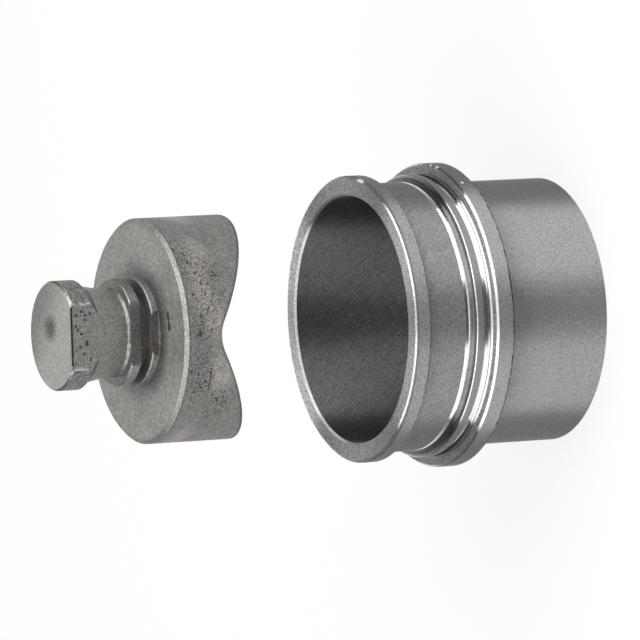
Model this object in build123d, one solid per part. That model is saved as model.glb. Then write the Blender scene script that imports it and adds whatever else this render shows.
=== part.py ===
from build123d import *
from math import cos, radians, sin, tan
import os

# Knockout punch and its die sleeve, in millimetres, +Z up. The sleeve stands on its back end at z = 0
# with its mouth up. The punch is drawn up above it on the same axis, cutting face down. The valley of
# the saddle runs nearly along Y, so the two horns stand at +X and -X. The shank's flat faces -Y, nearly.

# Punch body
punch_radius = 27.1
horn_height = 22.2          # from the back face to the tips of the horns
flank_angle = 26.9          # of the saddle's two flanks, in degrees
valley_radius = 8.2         # rounding where the flanks meet
saddle_turn = -4.6          # of the valley about the axis, in degrees from Y
back_bevel = 0.9            # bevel round the back face
boss_radius = 13.15
boss_height = 1.75
boss_edge = 0.25
boss_flat = 1.05            # depth of the small flat in line with the shank's
thread_radius = 9.0         # tapped hole, drawn at its major radius

# Shank
shank_radius = 12.9         # of the collar
head_radius = 13.15
relief_depth = 2.6          # groove between the boss and the collar, deeper than the flat
relief_width = 2.25
collar_thickness = 2.7
neck_depth = 1.25           # of the neck at its head end, from the collar's radius
neck_taper = 1.45           # how much deeper the neck is at the collar
collar_bevel = 0.6          # in the corner of the neck and the collar
neck_length = 7.85          # tapered part
head_cone = 1.7             # length of the slope from the neck to the head
head_length = 4.85
head_edge = 0.5
turned_edge = 0.25          # broken edges of the collar
flat_depth = 2.4            # of the flat milled along one side, from the collar's radius
flat_turn = -3.0            # of the flat about the axis, in degrees from -Y
thread_clearance = 0.05
stud_setback = 0.8          # the threaded end stops short of the saddle's valley
stud_edge = 1.0

# Die sleeve, from its back end to its mouth
side_room = 3.1             # between the punch and the sleeve's bore
tube_wall = 2.15
tube_length = 28.2
tube_edge = 0.3
flange_height = 2.65        # above the land
flange_thickness = 4.7
flange_edge = 0.5
foot_bevel = 0.35           # between the flange's face and its foot
foot_length = 0.6
groove_width = 1.6
groove_depth = 0.9
land_length = 1.9
land_edge = 0.2
step_height = 1.7           # of the land above the neck
step_fillet = 1.4
neck_wall = 2.7
sleeve_neck_length = 12.5   # from the land's face to the lip's back
lip_wall = 4.8
lip_length = 4.1
lip_bevel = 0.8             # in the corner of the neck and the lip
lip_back_edge = 0.5
lip_edge = 0.75
bore_edge = 0.5

# Cutting ring, pressed into the back of the sleeve
seat_step = 0.8             # the ring's seat is cut this deep into the bore's wall
ring_height = 16.0
cutting_clearance = 0.1     # between the punch and the ring
cutting_land = 6.0          # straight part below the cutting edge
slug_relief = 0.6           # how much wider the ring is at the bottom
ring_edge = 0.4

# The punch as it is drawn up
open_gap = 35.1             # from the sleeve's mouth to the tips of the horns

# Radii that follow
bore_radius = punch_radius + side_room
tube_radius = bore_radius + tube_wall
neck_radius = bore_radius + neck_wall
land_radius = neck_radius + step_height
flange_radius = land_radius + flange_height
lip_radius = bore_radius + lip_wall
seat_radius = bore_radius + seat_step
cutting_radius = punch_radius + cutting_clearance
neck_top_radius = shank_radius - neck_depth
neck_low_radius = neck_top_radius - neck_taper
relief_radius = shank_radius - relief_depth
stud_radius = thread_radius - thread_clearance

# Heights that follow
flange_top = tube_length + flange_thickness
groove_low = flange_top + foot_length
land_low = groove_low + groove_width
land_top = land_low + land_length
lip_back = land_top + sleeve_neck_length
mouth = lip_back + lip_length
horn_tip = mouth + open_gap
back_face = horn_tip + horn_height
boss_top = back_face + boss_height
collar_low = boss_top + relief_width
collar_top = collar_low + collar_thickness
neck_low = collar_top + collar_bevel
neck_top = neck_low + neck_length
head_low = neck_top + head_cone
shank_top = head_low + head_length + head_edge

# The saddle: two flanks tangent to the valley's arc
flank_slope = tan(radians(flank_angle))
tangent_x = valley_radius * sin(radians(flank_angle))
flank_low = horn_tip + (punch_radius - tangent_x) * flank_slope
valley_top = flank_low + valley_radius * (1 - cos(radians(flank_angle)))


def mill_flat(radius, depth, low, high):
    """Cuts a flat into the near side of the round part being built, between two heights."""
    with Locations(Location((0, 0, low), (0, 0, flat_turn))), Locations((0, depth - radius, 0)):
        Box(2 * radius, radius, high - low, align=(Align.CENTER, Align.MAX, Align.MIN), mode=Mode.SUBTRACT)


def die_sleeve():
    """Lip, neck, land, groove, flange and tube, turned as one piece with the bore and the ring's seat."""
    with BuildPart() as sleeve:
        with BuildSketch(Plane.XZ):
            with BuildLine():
                outside = Polyline(
                    (seat_radius, 0),
                    (tube_radius - tube_edge, 0),
                    (tube_radius, tube_edge),
                    (tube_radius, tube_length),
                    (flange_radius - tube_edge, tube_length),
                    (flange_radius, tube_length + tube_edge),
                    (flange_radius, flange_top - flange_edge),
                    (flange_radius - flange_edge, flange_top),
                    (land_radius + foot_bevel, flange_top),
                    (land_radius, flange_top + foot_bevel),
                    (land_radius, groove_low),
                    (land_radius - groove_depth, groove_low),
                    (land_radius - groove_depth, land_low),
                    (land_radius, land_low),
                    (land_radius, land_top - land_edge),
                    (land_radius - land_edge, land_top),
                    (neck_radius + step_fillet, land_top),
                )
                step = TangentArc(outside @ 1, (neck_radius, land_top + step_fillet), tangent=(-1, 0))
                Polyline(
                    step @ 1,
                    (neck_radius, lip_back - lip_bevel),
                    (neck_radius + lip_bevel, lip_back),
                    (lip_radius - lip_back_edge, lip_back),
                    (lip_radius, lip_back + lip_back_edge),
                    (lip_radius, mouth - lip_edge),
                    (lip_radius - lip_edge, mouth),
                    (bore_radius + bore_edge, mouth),
                    (bore_radius, mouth - bore_edge),
                    (bore_radius, ring_height),
                    (seat_radius, ring_height),
                    (seat_radius, 0),
                )
            make_face()
        revolve(axis=Axis.Z)
    return sleeve.part


def cutting_ring():
    """Hardened ring with a straight cutting land at the top and slug relief below it."""
    with BuildPart() as ring:
        with BuildSketch(Plane.XZ):
            with BuildLine():
                Polyline(
                    (cutting_radius + slug_relief, 0),
                    (seat_radius - ring_edge, 0),
                    (seat_radius, ring_edge),
                    (seat_radius, ring_height),
                    (cutting_radius, ring_height),
                    (cutting_radius, ring_height - cutting_land),
                    close=True,
                )
            make_face()
        revolve(axis=Axis.Z)
    return ring.part


def punch_body():
    """Round punch with its boss and tapped hole, cut by the saddle."""
    with BuildPart() as saddle:
        with BuildSketch(Plane.XZ):
            with BuildLine():
                flanks = Polyline(
                    (tangent_x, flank_low),
                    (punch_radius, horn_tip),
                    (punch_radius, horn_tip - horn_height),
                    (-punch_radius, horn_tip - horn_height),
                    (-punch_radius, horn_tip),
                    (-tangent_x, flank_low),
                )
                ThreePointArc(flanks @ 1, (0, valley_top), flanks @ 0)
            make_face()
        extrude(amount=punch_radius + 1, both=True)
    with BuildPart() as punch:
        with BuildSketch(Plane.XZ):
            with BuildLine():
                Polyline(
                    (thread_radius, horn_tip),
                    (punch_radius, horn_tip),
                    (punch_radius, back_face - back_bevel),
                    (punch_radius - back_bevel, back_face),
                    (boss_radius, back_face),
                    (boss_radius, boss_top - boss_edge),
                    (boss_radius - boss_edge, boss_top),
                    (thread_radius, boss_top),
                    close=True,
                )
            make_face()
        revolve(axis=Axis.Z)
        add(saddle.part, rotation=(0, 0, saddle_turn), mode=Mode.SUBTRACT)
        mill_flat(boss_radius, boss_flat, back_face, boss_top)
    return punch.part


def punch_shank():
    """Threaded end, relief, collar, neck and head, turned, then milled with one flat."""
    with BuildPart() as shank:
        with BuildSketch(Plane.XZ):
            with BuildLine():
                Polyline(
                    (0, valley_top + stud_setback),
                    (stud_radius - stud_edge, valley_top + stud_setback),
                    (stud_radius, valley_top + stud_setback + stud_edge),
                    (stud_radius, boss_top),
                    (relief_radius, boss_top),
                    (relief_radius, collar_low),
                    (shank_radius - turned_edge, collar_low),
                    (shank_radius, collar_low + turned_edge),
                    (shank_radius, collar_top - turned_edge),
                    (shank_radius - turned_edge, collar_top),
                    (neck_low_radius + collar_bevel, collar_top),
                    (neck_low_radius, neck_low),
                    (neck_top_radius, neck_top),
                    (head_radius, head_low),
                    (head_radius, shank_top - head_edge),
                    (head_radius - head_edge, shank_top),
                    (0, shank_top),
                    close=True,
                )
            make_face()
        revolve(axis=Axis.Z)
        mill_flat(shank_radius, flat_depth, collar_low, shank_top)
    return shank.part


os.makedirs("parts", exist_ok=True)
for make in (die_sleeve, cutting_ring, punch_body, punch_shank):
    export_step(make(), f"parts/{make.__name__}.step")
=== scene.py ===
import math
from collections import namedtuple

import bpy
from mathutils import Matrix, Vector

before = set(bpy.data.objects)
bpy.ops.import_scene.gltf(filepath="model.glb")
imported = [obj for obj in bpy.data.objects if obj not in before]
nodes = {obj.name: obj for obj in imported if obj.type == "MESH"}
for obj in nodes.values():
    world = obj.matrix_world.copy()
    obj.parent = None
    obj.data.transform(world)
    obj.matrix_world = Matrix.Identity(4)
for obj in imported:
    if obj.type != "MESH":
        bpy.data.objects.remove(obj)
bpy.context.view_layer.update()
scene = bpy.context.scene

# Radii and heights of the solids in millimetres, as in the part's source. The materials work in millimetres.
# The sleeve, from its foot to its mouth
BORE, TUBE, NECK, GROOVE, LAND, FLANGE, LIP = 30.2, 32.35, 32.9, 33.7, 34.6, 37.25, 35.0
FLANGE_LOW, FLANGE_TOP, GROOVE_LOW, LAND_LOW, LAND_TOP = 28.2, 32.9, 33.5, 35.1, 37.0
FILLET_TOP, NECK_TOP, LIP_BACK, MOUTH = 38.4, 48.7, 49.5, 53.6
BORE_EDGE = FLANGE_EDGE = LIP_BACK_EDGE = 0.5
LIP_EDGE = 0.75
# The punch
PUNCH, BOSS = 27.1, 13.15
HORN_TIP, BACK_FACE, BOSS_TOP = 88.7, 110.9, 112.65
BACK_BEVEL = 0.9
BOSS_FLAT = 12.1                     # from the axis to the small flat on the boss
SADDLE_TURN = math.radians(-4.6)     # of the saddle's valley about the axis, from Y
FLANK_ANGLE = math.radians(26.9)
# The shank
COLLAR, HEAD = 12.9, 13.15
COLLAR_LOW, COLLAR_TOP, SHANK_NECK_LOW = 114.9, 117.6, 118.2
SHANK_NECK_TOP, HEAD_LOW, SHANK_TOP = 126.05, 127.75, 133.1
HEAD_EDGE = 0.5
FLAT = 10.5                          # from the axis to the flat
FLAT_TURN = math.radians(-3.0)       # of both flats about the axis, from -Y

# How the materials' masks are drawn, in millimetres
SOFT = 0.03                          # half the width of a mask's edge
NEAR = 0.05                          # room round the face or line that a mask marks
WORN = 0.28                          # how far the wear of a broken edge reaches from its corner
LIP_SHINE = 0.33                     # height of the lip's bevel that is rubbed and painted bright as a highlight
STEP_EDGE = 0.22                     # reach of the bright edge of the land
NECK_CORNER = 0.8                    # bevel in the corner of the neck and the lip
FOOT_POLISH = 0.8                    # how far the step's polished foot runs up the neck
GROOVE_POLISH = 0.8                  # height of the groove's polished corner
FOOT = 0.38                          # width of the flange's bevelled foot

# A Mix node's sockets for each kind of data: a, b and the result
MIX_SOCKETS = {"FLOAT": (2, 3, 0), "RGBA": (6, 7, 2)}
TO_MILLIMETRES = 1000.0

MILLIMETRE = 0.001
# Strength and depth in metres of the grain's relief on each steel
SLEEVE_RELIEF, RING_RELIEF = (0.3, 0.00003), (0.4, 0.00003)
PUNCH_RELIEF, SHANK_RELIEF = (0.55, 0.00008), (0.5, 0.00007)

Place = namedtuple("Place", "co x y z r")
Finish = namedtuple("Finish", "radii heights tone rough grain")


class Graph:
    """A material's node tree, with short calls for the nodes used here.

    Colours are written as three numbers, lengths in millimetres, and noise scales per millimetre.
    """

    def __init__(self, name):
        self.material = bpy.data.materials.new(name)
        self.material.use_nodes = True
        self.tree = self.material.node_tree
        self.tree.nodes.clear()

    def put(self, socket, value):
        """Links a socket's value or sets a plain one."""
        if isinstance(value, bpy.types.NodeSocket):
            self.tree.links.new(value, socket)
        elif socket.type == "RGBA":
            socket.default_value = (*value, 1.0)
        else:
            socket.default_value = value

    def node(self, kind, settings=None, **inputs):
        n = self.tree.nodes.new(kind)
        for key, value in (settings or {}).items():
            setattr(n, key, value)
        for key, value in inputs.items():
            self.put(n.inputs[key.replace("_", " ")], value)
        return n

    def math(self, operation, *values, clamp=False):
        n = self.node("ShaderNodeMath", {"operation": operation, "use_clamp": clamp})
        for socket, value in zip(n.inputs, values):
            self.put(socket, value)
        return n.outputs[0]

    def vector_math(self, operation, a, b=None):
        n = self.node("ShaderNodeVectorMath", {"operation": operation})
        self.put(n.inputs[0], a)
        if b is not None:
            self.put(n.inputs["Scale" if operation == "SCALE" else 1], b)
        return n.outputs["Value" if operation == "LENGTH" else "Vector"]

    def chain(self, operation, first, *rest):
        """Joins all the values, one after the other, with one operation."""
        for value in rest:
            first = self.math(operation, first, value)
        return first

    def times(self, *values):
        return self.chain("MULTIPLY", *values)

    def add(self, *values):
        return self.chain("ADD", *values)

    def most(self, *values):
        return self.chain("MAXIMUM", *values)

    def minus(self, a, b):
        return self.math("SUBTRACT", a, b)

    def vector(self, x, y, z=0.0):
        return self.node("ShaderNodeCombineXYZ", X=x, Y=y, Z=z).outputs[0]

    def noise(self, vector, scale=1.0, detail=3.0, roughness=0.5):
        n = self.node("ShaderNodeTexNoise", Vector=vector, Scale=scale, Detail=detail, Roughness=roughness)
        return n.outputs["Fac"]

    def ramp(self, value, low, high, to_low=0.0, to_high=1.0, kind="SMOOTHSTEP"):
        """Goes from to_low to to_high as value goes from low to high."""
        n = self.node("ShaderNodeMapRange", {"interpolation_type": kind}, Value=value,
                      From_Min=low, From_Max=high, To_Min=to_low, To_Max=to_high)
        return n.outputs["Result"]

    def vary(self, noise, low, high, kind="SMOOTHSTEP"):
        """Spreads a noise, most of which lies between 0.3 and 0.7, from low to high."""
        return self.ramp(noise, 0.3, 0.7, low, high, kind)

    def band(self, value, low, high, soft):
        """1 between low and high, with edges soft wide to each side. None leaves that side open."""
        sides = []
        if low is not None:
            sides.append(self.ramp(value, low - soft, low + soft))
        if high is not None:
            sides.append(self.ramp(value, high - soft, high + soft, 1.0, 0.0))
        return self.times(*sides)

    def zone(self, place, radii, heights, soft=SOFT):
        """1 between two radii and two heights."""
        return self.times(self.band(place.r, *radii, soft), self.band(place.z, *heights, soft))

    def spot(self, where, centre, size, wobble, soft=0.25):
        """1 in an oval round centre, with an edge that wobble bends."""
        scaled = self.vector_math("DIVIDE", self.vector_math("SUBTRACT", where, (*centre, 0)), (*size, 1))
        bent = self.add(self.vector_math("LENGTH", scaled), wobble)
        return self.ramp(bent, 1.0 - soft, 1.0 + soft, 1.0, 0.0)

    def marks(self, where, radius, listed, wobble, soft=0.25):
        """Spots at a radius, listed by angle, height, half width and half height."""
        return self.most(*[self.spot(where, (math.radians(angle) * radius, up), (width, height), wobble, soft)
                           for angle, up, width, height in listed])

    def joined(self, data_type, factor, a, b):
        n = self.node("ShaderNodeMix", {"data_type": data_type})
        a_socket, b_socket, result = MIX_SOCKETS[data_type]
        self.put(n.inputs[0], factor)
        self.put(n.inputs[a_socket], a)
        self.put(n.inputs[b_socket], b)
        return n.outputs[result]

    def mix(self, factor, a, b):
        """From colour a to colour b."""
        return self.joined("RGBA", factor, a, b)

    def blend(self, factor, a, b):
        """From number a to number b."""
        return self.joined("FLOAT", factor, a, b)

    def keep(self, tone, masks_and_shares):
        """Leaves, under each mask, the share of the tone that stands beside it."""
        return self.times(tone, *[self.blend(mask, 1.0, share) for mask, share in masks_and_shares])

    def place(self):
        """Object coordinates in millimetres: the vector, x, y, z and the radius from the axis."""
        metres = self.node("ShaderNodeTexCoord").outputs["Object"]
        co = self.vector_math("SCALE", metres, TO_MILLIMETRES)
        x, y, z = self.node("ShaderNodeSeparateXYZ", Vector=co).outputs
        r = self.math("SQRT", self.add(self.times(x, x), self.times(y, y)))
        return Place(co, x, y, z, r)

    def turning(self, place, round_scale, along_scale):
        """Noise coordinates for marks that run round the axis, as those of turning do."""
        radius = self.most(place.r, 0.01)
        return self.vector(self.times(self.math("DIVIDE", place.x, radius), round_scale),
                           self.times(self.math("DIVIDE", place.y, radius), round_scale),
                           self.times(self.add(place.z, place.r), along_scale))

    def length_round(self, place, radius):
        """Length round the axis at a radius, from -Y towards +X."""
        return self.times(self.math("ARCTAN2", place.x, self.times(place.y, -1.0)), radius)

    def turned_tangent(self):
        return self.node("ShaderNodeTangent", {"direction_type": "RADIAL", "axis": "Z"}).outputs[0]

    def bump(self, height, strength, depth, **below):
        n = self.node("ShaderNodeBump", Height=height, Strength=strength, Distance=depth, **below)
        return n.outputs[0]

    def finish(self, shader):
        self.put(self.node("ShaderNodeOutputMaterial").inputs[0], shader.outputs[0])
        return self.material


def tint(warm):
    """A grey's colour, from 0 for neutral to warmer."""
    return 1 + 0.35 * warm, 1.0, 1 - warm


def dress(node, material):
    mesh = nodes[node].data
    mesh.materials.clear()
    mesh.materials.append(material)


# The sleeve's finish, zone by zone, over its plain turned steel: radii, heights, tone, roughness and how
# much of the steel's grain shows
SLEEVE_ZONES = {
    "neck": Finish((NECK - NEAR, NECK + NECK_CORNER), (FILLET_TOP + FOOT_POLISH, NECK_TOP + NECK_CORNER),
                   0.345, 0.62, 1.1),
    "lip_face": Finish((BORE + BORE_EDGE, LIP - LIP_EDGE), (MOUTH - 0.06, None), 0.42, 0.46, 2.2),
    "lip_round": Finish((LIP - 0.06, None), (LIP_BACK + LIP_BACK_EDGE, MOUTH - LIP_EDGE), 0.39, 0.60, 1.4),
    "lip_bevel": Finish((LIP - LIP_EDGE + LIP_SHINE, None), (MOUTH - LIP_EDGE, MOUTH - LIP_SHINE),
                        0.20, 0.46, 1.0),
    "lip_shadow": Finish((NECK + 0.75, None), (LIP_BACK - NEAR, LIP_BACK + 0.35), 0.06, 0.5, 1.0),
    "step_fillet": Finish((NECK - NEAR, LAND - 0.25), (LAND_TOP - NEAR, FILLET_TOP - 0.35), 0.26, 0.30, 0.5),
    "step_foot": Finish((NECK - NEAR, LAND - 0.25), (FILLET_TOP - 0.35, FILLET_TOP + FOOT_POLISH + 0.1),
                        0.66, 0.16, 0.2),
    "land_edge": Finish((LAND - STEP_EDGE, LAND + NEAR), (LAND_TOP - STEP_EDGE, LAND_TOP + 0.02),
                        0.80, 0.20, 0.9),
    "land": Finish((LAND - 0.1, LAND + NEAR), (LAND_LOW, LAND_TOP - STEP_EDGE), 0.30, 0.40, 0.6),
    "groove": Finish((GROOVE - NEAR, LAND + NEAR), (GROOVE_LOW + GROOVE_POLISH, LAND_LOW + 0.02),
                     0.32, 0.24, 0.5),
    "groove_corner": Finish((GROOVE - NEAR, LAND + NEAR), (GROOVE_LOW - 0.02, GROOVE_LOW + GROOVE_POLISH),
                            0.64, 0.16, 0.2),
    "flange_foot": Finish((LAND - NEAR, LAND + FOOT), (FLANGE_TOP - 0.02, GROOVE_LOW), 0.80, 0.22, 0.4),
    "flange_face": Finish((LAND + FOOT, FLANGE - FLANGE_EDGE), (FLANGE_TOP - 0.06, FLANGE_TOP + 0.2),
                          0.36, 0.55, 2.4),
    "flange_edge": Finish((FLANGE - FLANGE_EDGE, None), (FLANGE_TOP - FLANGE_EDGE, FLANGE_TOP + 0.2),
                          0.85, 0.20, 0.4),
    "flange_round": Finish((FLANGE - 0.1, None), (FLANGE_LOW + 0.7, FLANGE_TOP - FLANGE_EDGE),
                           0.43, 0.58, 1.0),
    "flange_shadow": Finish((TUBE + 0.5, None), (None, FLANGE_LOW + 0.4), 0.03, 0.5, 1.0),
}
# Zones that waver and are uneven, and zones that scuff marks run over
DARK_LINES = ("lip_shadow", "flange_shadow")
SCUFFED = ("neck", "step_fillet", "step_foot", "flange_shadow")
# Plain turned steel's tone and roughness, from one end of its slow cloud to the other
PLAIN_TONE, PLAIN_ROUGH = (0.40, 0.46), (0.53, 0.59)
BORE_TONE, BORE_ROUGH, BORE_GRAIN = 0.23, 0.58, 1.4
# Tone and roughness of the rubbed lip with its painted highlight, its face on the far side, and the bore's
# edge where plain and where worn with a painted highlight
LIP_WORN_HIGHLIGHT, FAR_FACE, BORE_EDGE_PLAIN, BORE_EDGE_WORN_HIGHLIGHT = (0.80, 0.26), (0.59, 0.46), (0.42, 0.40), (0.85, 0.30)
# Tone of the nicks, painted near white as glints
NICK_GLINT_TONE = 0.9
DULL_METALLIC = 0.35                             # of the steel where it mirrors least
# Where the polish hollows the step's foot: two heights, and how far the surface falls back between them
HOLLOWS = [(FILLET_TOP, FILLET_TOP + 0.9, 0.38), (FILLET_TOP - 0.4, FILLET_TOP, 0.36),
           (FILLET_TOP - 0.75, FILLET_TOP - 0.4, 0.18)]
GROOVE_RISE, GROOVE_RUN = 0.66, 1.5              # the same for the groove's floor and its lower wall
# Nicks in the sleeve's edges, painted bright as glints: angle from -Y towards +X in degrees, height, half
# width and half height
NICK_GLINTS = [(75, 53.4, 1.7, 0.45), (75, 32.4, 0.6, 0.4), (80, 32.5, 0.4, 0.3), (58, 31.2, 0.4, 0.4),
         (-112, 53.2, 1.0, 0.4), (168, 32.2, 0.8, 0.4)]


def hatch(g, place, around, fine, long):
    """Noise in fine slanting marks, and the same with the other slant; around is a length round the axis."""
    rising, falling = g.add(around, place.z), g.minus(around, place.z)
    return [g.noise(g.vector(g.times(across, fine), g.times(along, long)), detail=2.0)
            for across, along in ((rising, falling), (falling, rising))]


def sleeve_hollows(g, place):
    """How far the polish at the step's foot and in the groove stands back, in millimetres."""
    foot = [g.ramp(place.z, low, high, depth, 0.0, "LINEAR") for low, high, depth in HOLLOWS]
    floor_rise = g.times(g.ramp(place.z, GROOVE_LOW, LAND_LOW, GROOVE_RISE, 0.0, "LINEAR"),
                         g.ramp(place.r, GROOVE, GROOVE + NEAR, 1.0, 0.0))
    lower_wall = g.zone(place, (GROOVE + 0.02, LAND), (GROOVE_LOW - 0.02, GROOVE_LOW + 0.02), 0.01)
    wall_rise = g.times(g.ramp(place.r, GROOVE, LAND, GROOVE_RUN, 0.0, "LINEAR"), lower_wall)
    outside = g.ramp(place.r, BORE + 0.5, BORE + 0.7)
    return g.times(g.add(*foot, floor_rise, wall_rise), outside)


def sleeve_steel():
    g = Graph("sleeve_steel")
    p = g.place()
    turned = g.noise(g.turning(p, 2.2, 2.6), roughness=0.6)
    grain = g.noise(p.co, 2.6, roughness=0.7)
    cloud = g.noise(p.co, 0.095, roughness=0.55)
    wavering = p._replace(z=g.add(p.z, g.vary(g.noise(p.co, 0.45), -0.11, 0.11)))

    honed, crossed = hatch(g, p, g.times(g.math("ARCTAN2", p.x, p.y), BORE), 1.7, 0.12)
    honing = g.ramp(g.add(honed, g.times(crossed, 0.6)), 0.6, 1.0, 0.84, 1.16)
    scuffed, wiped = hatch(g, p, g.length_round(p, NECK), 1.1, 0.14)
    scuffs = g.vary(g.blend(0.2, scuffed, wiped), 0.88, 1.09)

    tone = g.times(g.blend(cloud, *PLAIN_TONE), g.vary(turned, 0.97, 1.03))
    rough = g.blend(cloud, *PLAIN_ROUGH)
    coarse = 1.0
    masks = {}
    for name, zone in SLEEVE_ZONES.items():
        zone_tone = zone.tone
        if name in DARK_LINES:
            mask = g.times(g.zone(wavering, zone.radii, zone.heights), g.ramp(cloud, 0.25, 0.4, 0.75, 1.0))
        else:
            mask = g.zone(p, zone.radii, zone.heights)
        if name in SCUFFED:
            zone_tone = g.times(scuffs, zone_tone)
        tone = g.blend(mask, tone, zone_tone)
        rough = g.blend(mask, rough, zone.rough)
        coarse = g.blend(mask, coarse, zone.grain)
        masks[name] = mask
    bore = g.ramp(p.r, BORE, BORE + SOFT, 1.0, 0.0)
    tone = g.blend(bore, tone, g.times(honing, BORE_TONE))
    rough = g.blend(bore, rough, BORE_ROUGH)
    coarse = g.blend(bore, coarse, BORE_GRAIN)

    # The lip's face is lighter on its far side, and its two edges are rubbed and carry a painted highlight
    # for part of the way round: the outer edge on the near side, the bore's edge on the far side
    lip_worn_highlight = g.times(g.zone(p, (LIP - LIP_EDGE - SOFT, None), (MOUTH - LIP_SHINE, None)),
                       g.ramp(p.y, -20.0, -5.0, 1.0, 0.15))
    far_face = g.times(masks["lip_face"], g.ramp(p.y, 15.0, 29.0))
    bore_edge = g.zone(p, (None, BORE + BORE_EDGE), (MOUTH - BORE_EDGE, None))
    bore_worn_highlight = g.times(bore_edge, g.ramp(g.add(p.y, g.times(p.x, -0.28)), 9.0, 19.0, 0.15, 1.0))
    for mask, (mask_tone, mask_rough) in ((lip_worn_highlight, LIP_WORN_HIGHLIGHT), (far_face, FAR_FACE),
                                          (bore_edge, BORE_EDGE_PLAIN), (bore_worn_highlight, BORE_EDGE_WORN_HIGHLIGHT)):
        tone = g.blend(mask, tone, mask_tone)
        rough = g.blend(mask, rough, mask_rough)
    wobble = g.vary(grain, -0.4, 0.4, "LINEAR")
    rim_place = g.vector(g.length_round(p, LIP), p.z)
    # Nicks in the edges, painted near white as glints
    nick_glints = g.times(g.ramp(p.r, LIP - LIP_EDGE, LIP - 0.65), g.marks(rim_place, LIP, NICK_GLINTS, wobble))
    tone = g.blend(nick_glints, tone, NICK_GLINT_TONE)
    dull = g.most(bore_worn_highlight, nick_glints, g.times(g.most(masks["flange_face"], masks["lip_bevel"]), 0.6),
                  g.times(g.most(masks["neck"], masks["lip_round"]), 0.15), g.times(bore, 0.1))
    speckle = g.math("MULTIPLY_ADD", coarse, g.ramp(grain, 0.25, 0.75, -0.30, 0.30), 1.0)
    color = g.vector_math("SCALE", g.mix(cloud, tint(0.018), tint(0.034)), g.times(tone, speckle))

    curve = g.bump(sleeve_hollows(g, p), 1.0, MILLIMETRE)
    height = g.times(g.add(g.times(turned, 0.5), grain), coarse)
    return g.finish(g.node(
        "ShaderNodeBsdfPrincipled", Base_Color=color, Metallic=g.blend(dull, 1.0, DULL_METALLIC),
        Roughness=rough, Normal=g.bump(height, *SLEEVE_RELIEF, Normal=curve), Tangent=g.turned_tangent(),
        Anisotropic=1.0, Anisotropic_Rotation=0.25))


def ring_steel():
    g = Graph("ring_steel")
    p = g.place()
    ground = g.noise(g.turning(p, 3.0, 5.0), roughness=0.6)
    grain = g.noise(p.co, 3.0, detail=2.0)
    tone = g.times(g.vary(ground, 0.30, 0.36), g.vary(grain, 0.85, 1.12))
    return g.finish(g.node(
        "ShaderNodeBsdfPrincipled", Base_Color=g.vector_math("SCALE", tint(0.03), tone), Metallic=1.0,
        Roughness=g.vary(ground, 0.3, 0.4), Normal=g.bump(g.add(ground, grain), *RING_RELIEF),
        Tangent=g.turned_tangent(), Anisotropic=0.8, Anisotropic_Rotation=0.25))


# Marks on the punch, as they lie on it. Round the side: angle from -Y towards +X in degrees and height.
# The last two numbers are half the mark's width and height.
SIDE_PITS = [
    (44, 109.6, 0.6, 0.25), (41, 107.4, 0.45, 0.3), (35, 107.2, 0.5, 0.3), (29, 106.0, 0.45, 0.3),
    (23, 105.4, 0.5, 0.3), (17, 107.9, 0.35, 0.35), (15, 107.2, 0.35, 0.25), (17, 104.8, 0.35, 0.25),
    (35, 102.6, 0.3, 0.25), (29, 101.5, 0.4, 0.25), (27, 100.9, 0.25, 0.25), (6, 106.6, 0.35, 0.35),
    (3, 106.4, 0.3, 0.25), (-3, 107.2, 0.6, 0.5), (-3, 109.7, 0.4, 0.2), (-1, 104.0, 0.3, 0.25),
    (-22, 109.0, 0.4, 0.3), (-24, 107.0, 0.35, 0.3), (-28, 105.1, 0.5, 0.25), (-36, 102.4, 0.3, 0.25),
    (-40, 100.8, 0.4, 0.25), (-43, 99.3, 0.3, 0.3), (-41, 98.4, 0.3, 0.25), (-48, 103.5, 0.3, 0.25),
    (-52, 101.7, 0.3, 0.25), (78, 106.2, 0.4, 0.3), (112, 101.4, 0.5, 0.3), (126, 107.9, 0.4, 0.25),
    (158, 103.7, 0.45, 0.3), (-84, 99.8, 0.4, 0.3), (-101, 106.8, 0.5, 0.3), (-139, 104.2, 0.4, 0.35),
]
SIDE_CRACK = [(-27, 103.8, 3.2, 0.22)]
# Where small pits lie close together
SIDE_CLUSTERS = [
    (36, 106.5, 8.0, 2.6), (28, 103.5, 5.5, 3.0), (2, 106.5, 4.0, 2.6), (-26, 105.8, 6.5, 3.2),
    (-42, 100.5, 5.0, 2.8), (12, 104.0, 5.0, 3.4), (118, 103.5, 6.0, 3.0), (160, 106.5, 5.0, 2.4),
    (-98, 103.0, 6.0, 3.2), (-145, 106.0, 5.5, 2.6),
]
# Where the scale has worn off and the steel is lighter and warmer
LIGHT_PATCHES = [
    (42, 104.5, 4.5, 3.0), (20, 105.5, 7.0, 2.4), (5, 103.0, 5.0, 2.5), (-22, 100.5, 5.5, 3.4),
    (82, 102.0, 6.0, 3.4), (146, 104.0, 7.0, 2.6), (-120, 102.5, 7.0, 3.2), (-72, 105.5, 6.0, 2.6),
]
# On the head's flat: x, height, half width and half height
FLAT_PITS = [
    (5.1, 131.6, 0.35, 0.4), (6.0, 130.3, 0.3, 0.35), (5.0, 129.3, 0.35, 0.35), (5.4, 128.0, 0.4, 0.3),
    (3.9, 129.4, 0.3, 0.35), (2.5, 131.7, 0.35, 0.3), (1.7, 131.3, 0.3, 0.35), (0.6, 130.3, 0.35, 0.4),
    (-1.6, 129.0, 0.6, 0.5), (-2.5, 130.7, 0.35, 0.35), (-4.2, 129.7, 0.4, 0.35), (-5.5, 128.1, 0.4, 0.3),
]
# On faces square to the axis: x and y of the middle, and half the width along x and y
STAINS = [((3.2, -17.7), (1.3, 0.6)), ((0.6, -18.0), (1.2, 0.7))]
RUST = ((-4.0, -13.0), (2.0, 1.5))
SMUDGE = ((1.9, 1.1), (2.6, 2.9))
CHAFE = ((7.9, -9.9), (2.2, 1.6))

DARK_PIT = 0.03                      # tone at the bottom of a pit
PIT_COVER = 0.85                     # how much of the tone a pit takes
PIT_DEPTH = -2.5                     # in the height of the bump
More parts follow.
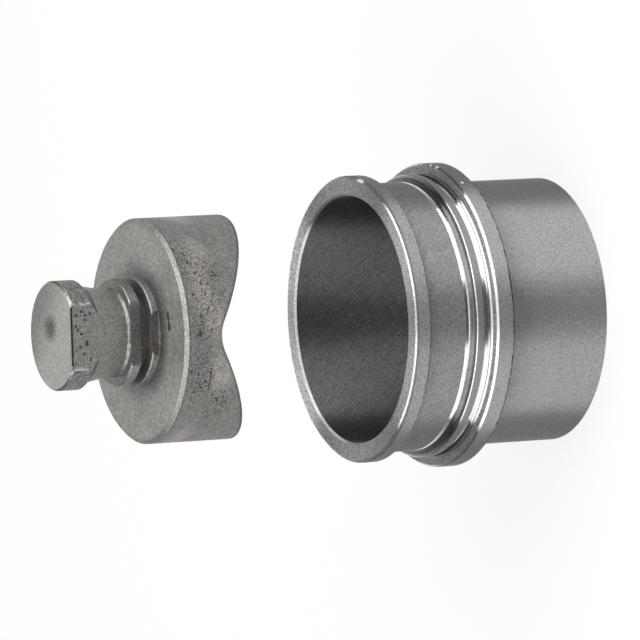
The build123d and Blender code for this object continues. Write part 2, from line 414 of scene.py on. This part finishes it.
# Hues on the punch, and on the shank
PIT_HUE, BARE_HUE, RUST_HUE = (1.25, 1.0, 0.8), (1.07, 1.0, 0.95), (1.12, 1.0, 0.76)
SHANK_PIT_HUE, CHAFED_HUE = (1.2, 1.0, 0.8), (1.07, 1.0, 0.98)
GROOVE_HUE, SMUDGE_HUE = (1.08, 1.0, 0.9), (1.04, 1.0, 0.98)


def punch_grain(g, place):
    """Fine and coarse grain of the scaled surface, a slow cloud, and a wobble for the marks' edges."""
    fine = g.noise(place.co, 2.9, roughness=0.7)
    coarse = g.noise(place.co, 0.9, roughness=0.6)
    cloud = g.noise(place.co, 0.14, roughness=0.55)
    wobble = g.vary(fine, -0.45, 0.45, "LINEAR")
    return fine, coarse, cloud, wobble


def towards_flat(g, place):
    """Distance from the axis towards the flats."""
    return g.add(g.times(place.x, math.sin(FLAT_TURN)), g.times(place.y, -math.cos(FLAT_TURN)))


def above_saddle(g, place):
    """Height above the saddle's cut, from the two flanks; the valley's rounding is left out."""
    lean = g.math("ABSOLUTE", g.add(g.times(place.x, math.cos(SADDLE_TURN)),
                                    g.times(place.y, math.sin(SADDLE_TURN))))
    saddle = g.add(g.times(g.minus(PUNCH, g.most(lean, 3.0)), math.tan(FLANK_ANGLE)), HORN_TIP)
    return g.minus(place.z, saddle)


def punch_steel():
    g = Graph("punch_steel")
    p = g.place()
    fine, coarse, cloud, wobble = punch_grain(g, p)
    bevel_low = BACK_FACE - BACK_BEVEL
    side = g.times(g.ramp(p.r, PUNCH - 0.2, PUNCH - 0.1),
                   g.ramp(p.z, bevel_low - NEAR, bevel_low + NEAR, 1.0, 0.0))
    disc = g.zone(p, (BOSS - NEAR, PUNCH - BACK_BEVEL), (BACK_FACE - NEAR, BACK_FACE + NEAR))

    side_place = g.vector(g.length_round(p, PUNCH), p.z)
    disc_place = g.vector(p.x, p.y)
    pits = g.marks(side_place, PUNCH, SIDE_PITS, wobble)
    clustered = g.ramp(g.noise(p.co, 2.3, detail=2.0, roughness=0.6), 0.545, 0.60)
    clusters = g.times(g.marks(side_place, PUNCH, SIDE_CLUSTERS, wobble, 0.5), clustered)
    crack = g.marks(side_place, PUNCH, SIDE_CRACK, wobble)
    stain = g.most(*[g.spot(disc_place, middle, size, wobble, 0.4) for middle, size in STAINS])
    dark = g.most(g.times(side, g.most(pits, clusters, crack)), g.times(disc, stain))
    light = g.marks(side_place, PUNCH, LIGHT_PATCHES, wobble, 0.7)
    rust = g.times(g.spot(disc_place, *RUST, wobble, 0.5),
                   g.ramp(p.z, BOSS_TOP - 0.3, BOSS_TOP - 0.2, 1.0, 0.0))

    rim = g.zone(p, (PUNCH - BACK_BEVEL - 0.08, None), (bevel_low - NEAR, None), 0.06)
    # The rim's bevel is worn, and painted brighter towards the near side as a highlight
    rim_worn_highlight = g.times(rim, g.ramp(p.r, PUNCH - 0.32, PUNCH - 0.12, 1.0, 0.25),
                       g.ramp(coarse, 0.35, 0.55, 0.2, 0.82),
                       g.ramp(g.add(p.y, g.times(p.x, 0.5)), -12.0, 4.0, 1.0, 0.3))
    far_rim = g.times(rim, g.ramp(p.y, -6.0, 14.0))
    below_rim = g.zone(p, (PUNCH - 0.1, None), (bevel_low - 0.45, bevel_low - NEAR), 0.08)
    inside_rim = g.times(disc, g.ramp(p.r, PUNCH - 1.5, PUNCH - 1.0, 0.0, 0.5))
    rim_line = g.times(g.most(below_rim, inside_rim), g.ramp(coarse, 0.4, 0.6))
    boss_edge = g.times(g.zone(p, (BOSS - WORN, BOSS + NEAR), (BOSS_TOP - WORN, None)),
                        g.ramp(coarse, 0.36, 0.5))
    # Wear on the edges, with the rim's painted highlight
    worn_and_highlight = g.most(rim_worn_highlight, boss_edge)
    shadow = g.times(disc, g.ramp(p.r, BOSS - 0.2, BOSS + 5.5, 0.85, 0.0),
                     g.ramp(p.y, -13.0, -4.0, 1.0, 0.6))
    # The boss's top, in the gap under the shank's collar, is painted darker: painted shade
    boss_top = g.zone(p, (None, BOSS - WORN), (BOSS_TOP - NEAR, None))
    boss_side = g.zone(p, (BOSS - NEAR, BOSS + NEAR), (BACK_FACE + NEAR, BOSS_TOP - 0.3))
    boss_flat = g.times(g.ramp(towards_flat(g, p), BOSS_FLAT - 0.04, BOSS_FLAT - 0.02),
                        g.zone(p, (None, BOSS), (BACK_FACE + NEAR, None)))
    cut = g.times(side, g.ramp(above_saddle(g, p), 0.15, 0.9, 1.0, 0.0), g.ramp(coarse, 0.3, 0.6, 0.5, 1.0))

    patches = g.times(g.ramp(cloud, 0.35, 0.65, 0.94, 1.05), g.blend(light, 0.97, 1.42))
    clouds = g.vary(cloud, 0.92, 1.06)
    speckle = g.blend(disc, g.ramp(fine, 0.25, 0.75, 0.5, 1.5), g.ramp(fine, 0.25, 0.75, 0.66, 1.34))
    tone = g.times(g.blend(side, 0.41, 0.235), g.blend(side, clouds, patches))
    tone = g.times(tone, g.vary(coarse, 0.84, 1.13), speckle)
    tone = g.keep(tone, ((shadow, 0.25), (rim_line, 0.45), (cut, 0.45), (boss_flat, 0.42), (boss_top, 0.6),
                         (boss_side, 0.78), (far_rim, 0.7)))
    tone = g.blend(worn_and_highlight, tone, g.vary(fine, 0.30, 0.55))
    tone = g.blend(g.times(dark, PIT_COVER), tone, DARK_PIT)
    tone = g.keep(tone, [(g.times(rust, g.ramp(coarse, 0.3, 0.6)), g.ramp(fine, 0.35, 0.6, 0.4, 1.25))])

    hue = g.mix(g.ramp(cloud, 0.4, 0.65), tint(0.035), tint(0.065))
    hue = g.mix(g.times(light, side, 0.6), hue, BARE_HUE)
    hue = g.mix(g.times(dark, 0.7), hue, PIT_HUE)
    hue = g.mix(g.times(rust, 0.9), hue, RUST_HUE)
    height = g.add(g.times(fine, 0.7), g.times(coarse, 1.6), g.times(dark, PIT_DEPTH))
    return g.finish(g.node(
        "ShaderNodeBsdfPrincipled", Base_Color=g.vector_math("SCALE", hue, tone), Metallic=1.0,
        Roughness=g.blend(worn_and_highlight, g.blend(cloud, 0.56, 0.68), 0.5), Normal=g.bump(height, *PUNCH_RELIEF)))


def shank_steel():
    g = Graph("shank_steel")
    p = g.place()
    fine, coarse, cloud, wobble = punch_grain(g, p)
    to_flat = towards_flat(g, p)
    along_flat = g.add(g.times(p.x, math.cos(FLAT_TURN)), g.times(p.y, math.sin(FLAT_TURN)))
    flat = g.times(g.ramp(to_flat, FLAT - 0.04, FLAT - 0.02), g.ramp(p.z, COLLAR_LOW - NEAR, COLLAR_LOW))
    off_flat = g.minus(1.0, flat)
    face = g.ramp(p.z, SHANK_TOP - 0.06, SHANK_TOP - 0.03)
    flat_place = g.vector(along_flat, p.z)
    face_place = g.vector(p.x, p.y)

    pits = g.times(flat, g.most(*[g.spot(flat_place, (across, up), (width, height), wobble)
                                  for across, up, width, height in FLAT_PITS]))
    specks = g.times(flat, g.ramp(p.z, HEAD_LOW - 1.0, HEAD_LOW + 0.5),
                     g.ramp(g.noise(p.co, 1.8, detail=2.0, roughness=0.6), 0.6, 0.68))
    dark = g.most(pits, specks)
    smudge = g.times(face, g.spot(face_place, *SMUDGE, g.times(wobble, 0.5), 0.7))
    # The head's face is darker towards +X and +Y, the far side: painted shade
    face_painted_shade = g.times(face, g.ramp(g.add(g.times(p.x, 0.6), g.times(p.y, 0.8)), -2.0, 11.0))
    face_edge = g.times(face, g.ramp(to_flat, FLAT - 1.0, FLAT - 0.2))
    chafed = g.times(g.zone(p, (COLLAR - 2.6, None), (COLLAR_LOW, COLLAR_TOP - 0.2)),
                     g.spot(face_place, *CHAFE, wobble, 0.6))

    # The thread relief under the collar is painted darker: painted shade in that recess; its hue is warmer
    relief = g.zone(p, (None, COLLAR - 0.6), (None, COLLAR_LOW + 0.02))
    # A dark ring where the neck meets the cone under the head: painted shade in that corner
    cone_corner_shade = g.times(g.band(p.z, SHANK_NECK_TOP - 0.12, SHANK_NECK_TOP + 0.12, 0.1),
                        g.ramp(to_flat, FLAT - 0.1, FLAT, 1.0, 0.0))
    flat_line = g.times(flat, g.ramp(p.z, SHANK_TOP - 0.62, SHANK_TOP - 0.4),
                        g.ramp(coarse, 0.3, 0.45, 0.4, 1.0))
    collar_low_edge = g.zone(p, (COLLAR - WORN, None), (COLLAR_LOW - 0.02, COLLAR_LOW + WORN))
    collar_top_edge = g.zone(p, (COLLAR - 0.3, None), (COLLAR_TOP - WORN, COLLAR_TOP + NEAR))
    head_rim = g.zone(p, (HEAD - HEAD_EDGE - NEAR, None), (SHANK_TOP - HEAD_EDGE - NEAR, None))
    # The fillet between collar and neck is lightened along with the worn edges: a painted highlight
    neck_fillet_highlight = g.times(g.zone(p, (None, COLLAR - 1.9), (COLLAR_TOP, SHANK_NECK_LOW), 0.08), 0.5)
    flat_rim = g.times(flat, g.ramp(g.math("ABSOLUTE", along_flat), 7.2, 7.9),
                       g.ramp(p.z, SHANK_NECK_TOP, HEAD_LOW))
    edges = g.most(collar_low_edge, collar_top_edge, head_rim, neck_fillet_highlight, flat_rim)
    # Wear on the edges, with the fillet's painted highlight
    worn_and_highlight = g.times(edges, g.ramp(coarse, 0.38, 0.52))
    head_side = g.times(g.zone(p, (HEAD - 0.1, None), (HEAD_LOW, SHANK_TOP - HEAD_EDGE)), off_flat)
    collar_side = g.times(g.zone(p, (COLLAR - 0.1, None), (COLLAR_LOW + WORN, COLLAR_TOP - WORN)), off_flat)
    collar_flat = g.times(flat, g.ramp(p.z, COLLAR_TOP - 0.1, COLLAR_TOP, 1.0, 0.0))

    tone = g.times(g.blend(cloud, 0.25, 0.31), g.vary(coarse, 0.88, 1.1))
    tone = g.times(tone, g.ramp(fine, 0.25, 0.75, 0.5, 1.5))
    tone = g.keep(tone, ((face, 1.72), (smudge, 0.36), (face_painted_shade, 0.6), (face_edge, 0.8), (relief, 0.36),
                         (cone_corner_shade, 0.45), (flat, 0.9), (head_side, g.ramp(coarse, 0.35, 0.65, 0.58, 0.82)),
                         (collar_side, g.ramp(p.x, -6.0, 4.0, 1.2, 0.75)), (collar_flat, 0.62),
                         (flat_line, 0.12)))
    tone = g.blend(g.times(worn_and_highlight, 0.8), tone, g.vary(fine, 0.4, 0.7))
    tone = g.blend(g.times(dark, PIT_COVER), tone, DARK_PIT)
    tone = g.blend(g.times(chafed, 0.8), tone, g.ramp(fine, 0.35, 0.6, 0.12, 0.34))

    hue = g.mix(g.ramp(cloud, 0.4, 0.65), tint(0.035), tint(0.07))
    hue = g.mix(g.times(chafed, 0.8), hue, CHAFED_HUE)
    hue = g.mix(relief, hue, GROOVE_HUE)
    hue = g.mix(smudge, hue, SMUDGE_HUE)
    hue = g.mix(g.times(dark, 0.7), hue, SHANK_PIT_HUE)
    height = g.add(g.times(fine, 0.6), coarse, g.times(dark, PIT_DEPTH))
    return g.finish(g.node(
        "ShaderNodeBsdfPrincipled", Base_Color=g.vector_math("SCALE", hue, tone), Metallic=1.0,
        Roughness=g.blend(worn_and_highlight, g.blend(cloud, 0.5, 0.62), 0.34), Normal=g.bump(height, *SHANK_RELIEF)))


def grey(tone):
    return tone, tone, tone


# The floor's tones in the studio's light, and those where the camera or the metal sees it, with a glow
LIT_TONES, SEEN_TONES, GLOW = (0.78, 0.82), (0.23, 0.25), 0.76


def floor_white():
    """Pale floor that shows as white to the camera and in the metal, and still takes the shadow.

    Its noise scale is per metre.
    """
    g = Graph("floor_white")
    path = g.node("ShaderNodeLightPath").outputs
    seen = g.math("ADD", g.add(path["Is Camera Ray"], path["Is Glossy Ray"]), path["Is Transmission Ray"],
                  clamp=True)
    cloud = g.noise(g.node("ShaderNodeTexCoord").outputs["Object"], 3.0, detail=2.0)
    lit = g.node("ShaderNodeBsdfDiffuse", Color=g.mix(cloud, *map(grey, LIT_TONES)))
    half = g.node("ShaderNodeBsdfDiffuse", Color=g.mix(cloud, *map(grey, SEEN_TONES)))
    glow = g.node("ShaderNodeEmission", Color=grey(1.0), Strength=GLOW)
    white = g.node("ShaderNodeAddShader")
    g.put(white.inputs[0], half.outputs[0])
    g.put(white.inputs[1], glow.outputs[0])
    both = g.node("ShaderNodeMixShader", Fac=seen)
    g.put(both.inputs[1], lit.outputs[0])
    g.put(both.inputs[2], white.outputs[0])
    return g.finish(both)


# Studio. Azimuth 0 is towards -Y and 90 towards +X. Lengths are in metres from here on.
FLOOR_REACH = 12.0
LIT_HEIGHT = 0.066                   # the lamps point at the axis at this height
WORLD_STRENGTH = 0.07
# Azimuth and elevation in degrees, distance, width, height and radiance
SOFTBOXES = {
    "softbox_right": (62, 29, 1.2, 1.68, 1.3, 2.15),
    "softbox_left": (-61, 29, 1.2, 1.62, 1.3, 1.7),
    "softbox_top": (0, 85, 1.3, 1.3, 1.6, 1.35),
    "softbox_rear": (180, 28, 1.2, 0.8, 0.8, 1.0),
}

# The photo's camera
PICTURE = 640                        # the picture's width in pixels
FOCAL = 6500.0                       # in pixels
TILT = math.radians(26.6)            # the camera's height above the horizon
ROLL = math.radians(-93.2)           # the object's axis lies across the picture
DEPTH = 1.5825                       # from the camera to the middle of the sleeve's mouth
MOUTH_RIGHT, MOUTH_UP = 30.3, 0.5    # where that middle lies in the picture, in pixels from its centre
SENSOR = 36.0
CLIP_START, CLIP_END = 0.05, 50.0


def make_floor():
    mesh = bpy.data.meshes.new("floor")
    reach = FLOOR_REACH
    corners = [(-reach, -reach, 0), (reach, -reach, 0), (reach, reach, 0), (-reach, reach, 0)]
    mesh.from_pydata(corners, [], [(0, 1, 2, 3)])
    mesh.materials.append(floor_white())
    plane = bpy.data.objects.new("floor", mesh)
    scene.collection.objects.link(plane)
    return plane


def direction(azimuth, elevation):
    """Unit vector from the object."""
    a, e = math.radians(azimuth), math.radians(elevation)
    return Vector((math.sin(a) * math.cos(e), -math.cos(a) * math.cos(e), math.sin(e)))


def softbox(name, azimuth, elevation, distance, width, height, radiance):
    light = bpy.data.lights.new(name, "AREA")
    light.shape = "RECTANGLE"
    light.size, light.size_y = width, height
    light.energy = radiance * math.pi * width * height
    lamp = bpy.data.objects.new(name, light)
    target = Vector((0, 0, LIT_HEIGHT))
    lamp.location = target + direction(azimuth, elevation) * distance
    lamp.rotation_euler = (target - lamp.location).to_track_quat("-Z", "Y").to_euler()
    lamp.visible_camera = False
    scene.collection.objects.link(lamp)


def make_world():
    world = bpy.data.worlds.new("studio")
    world.use_nodes = True
    background = world.node_tree.nodes["Background"]
    background.inputs["Color"].default_value = (1, 1, 1, 1)
    background.inputs["Strength"].default_value = WORLD_STRENGTH
    scene.world = world


def make_camera():
    forward = Vector((0, math.cos(TILT), -math.sin(TILT)))
    level_up = Vector((0, math.sin(TILT), math.cos(TILT)))
    level_right = Vector((1, 0, 0))
    right = math.cos(ROLL) * level_right + math.sin(ROLL) * level_up
    up = -math.sin(ROLL) * level_right + math.cos(ROLL) * level_up
    mouth = Vector((0, 0, MOUTH / TO_MILLIMETRES))
    eye = mouth - (MOUTH_RIGHT / FOCAL * DEPTH * right + MOUTH_UP / FOCAL * DEPTH * up + DEPTH * forward)
    lens = bpy.data.cameras.new("camera")
    lens.sensor_width = SENSOR
    lens.lens = SENSOR * FOCAL / PICTURE
    lens.clip_start, lens.clip_end = CLIP_START, CLIP_END
    camera = bpy.data.objects.new("camera", lens)
    camera.matrix_world = Matrix.Translation(eye) @ Matrix((right, up, -forward)).transposed().to_4x4()
    scene.collection.objects.link(camera)
    scene.camera = camera


dress("die_sleeve", sleeve_steel())
dress("cutting_ring", ring_steel())
dress("punch_body", punch_steel())
dress("punch_shank", shank_steel())

floor = make_floor()
for name, settings in SOFTBOXES.items():
    softbox(name, *settings)
make_world()
make_camera()
scene.view_settings.view_transform = "Standard"
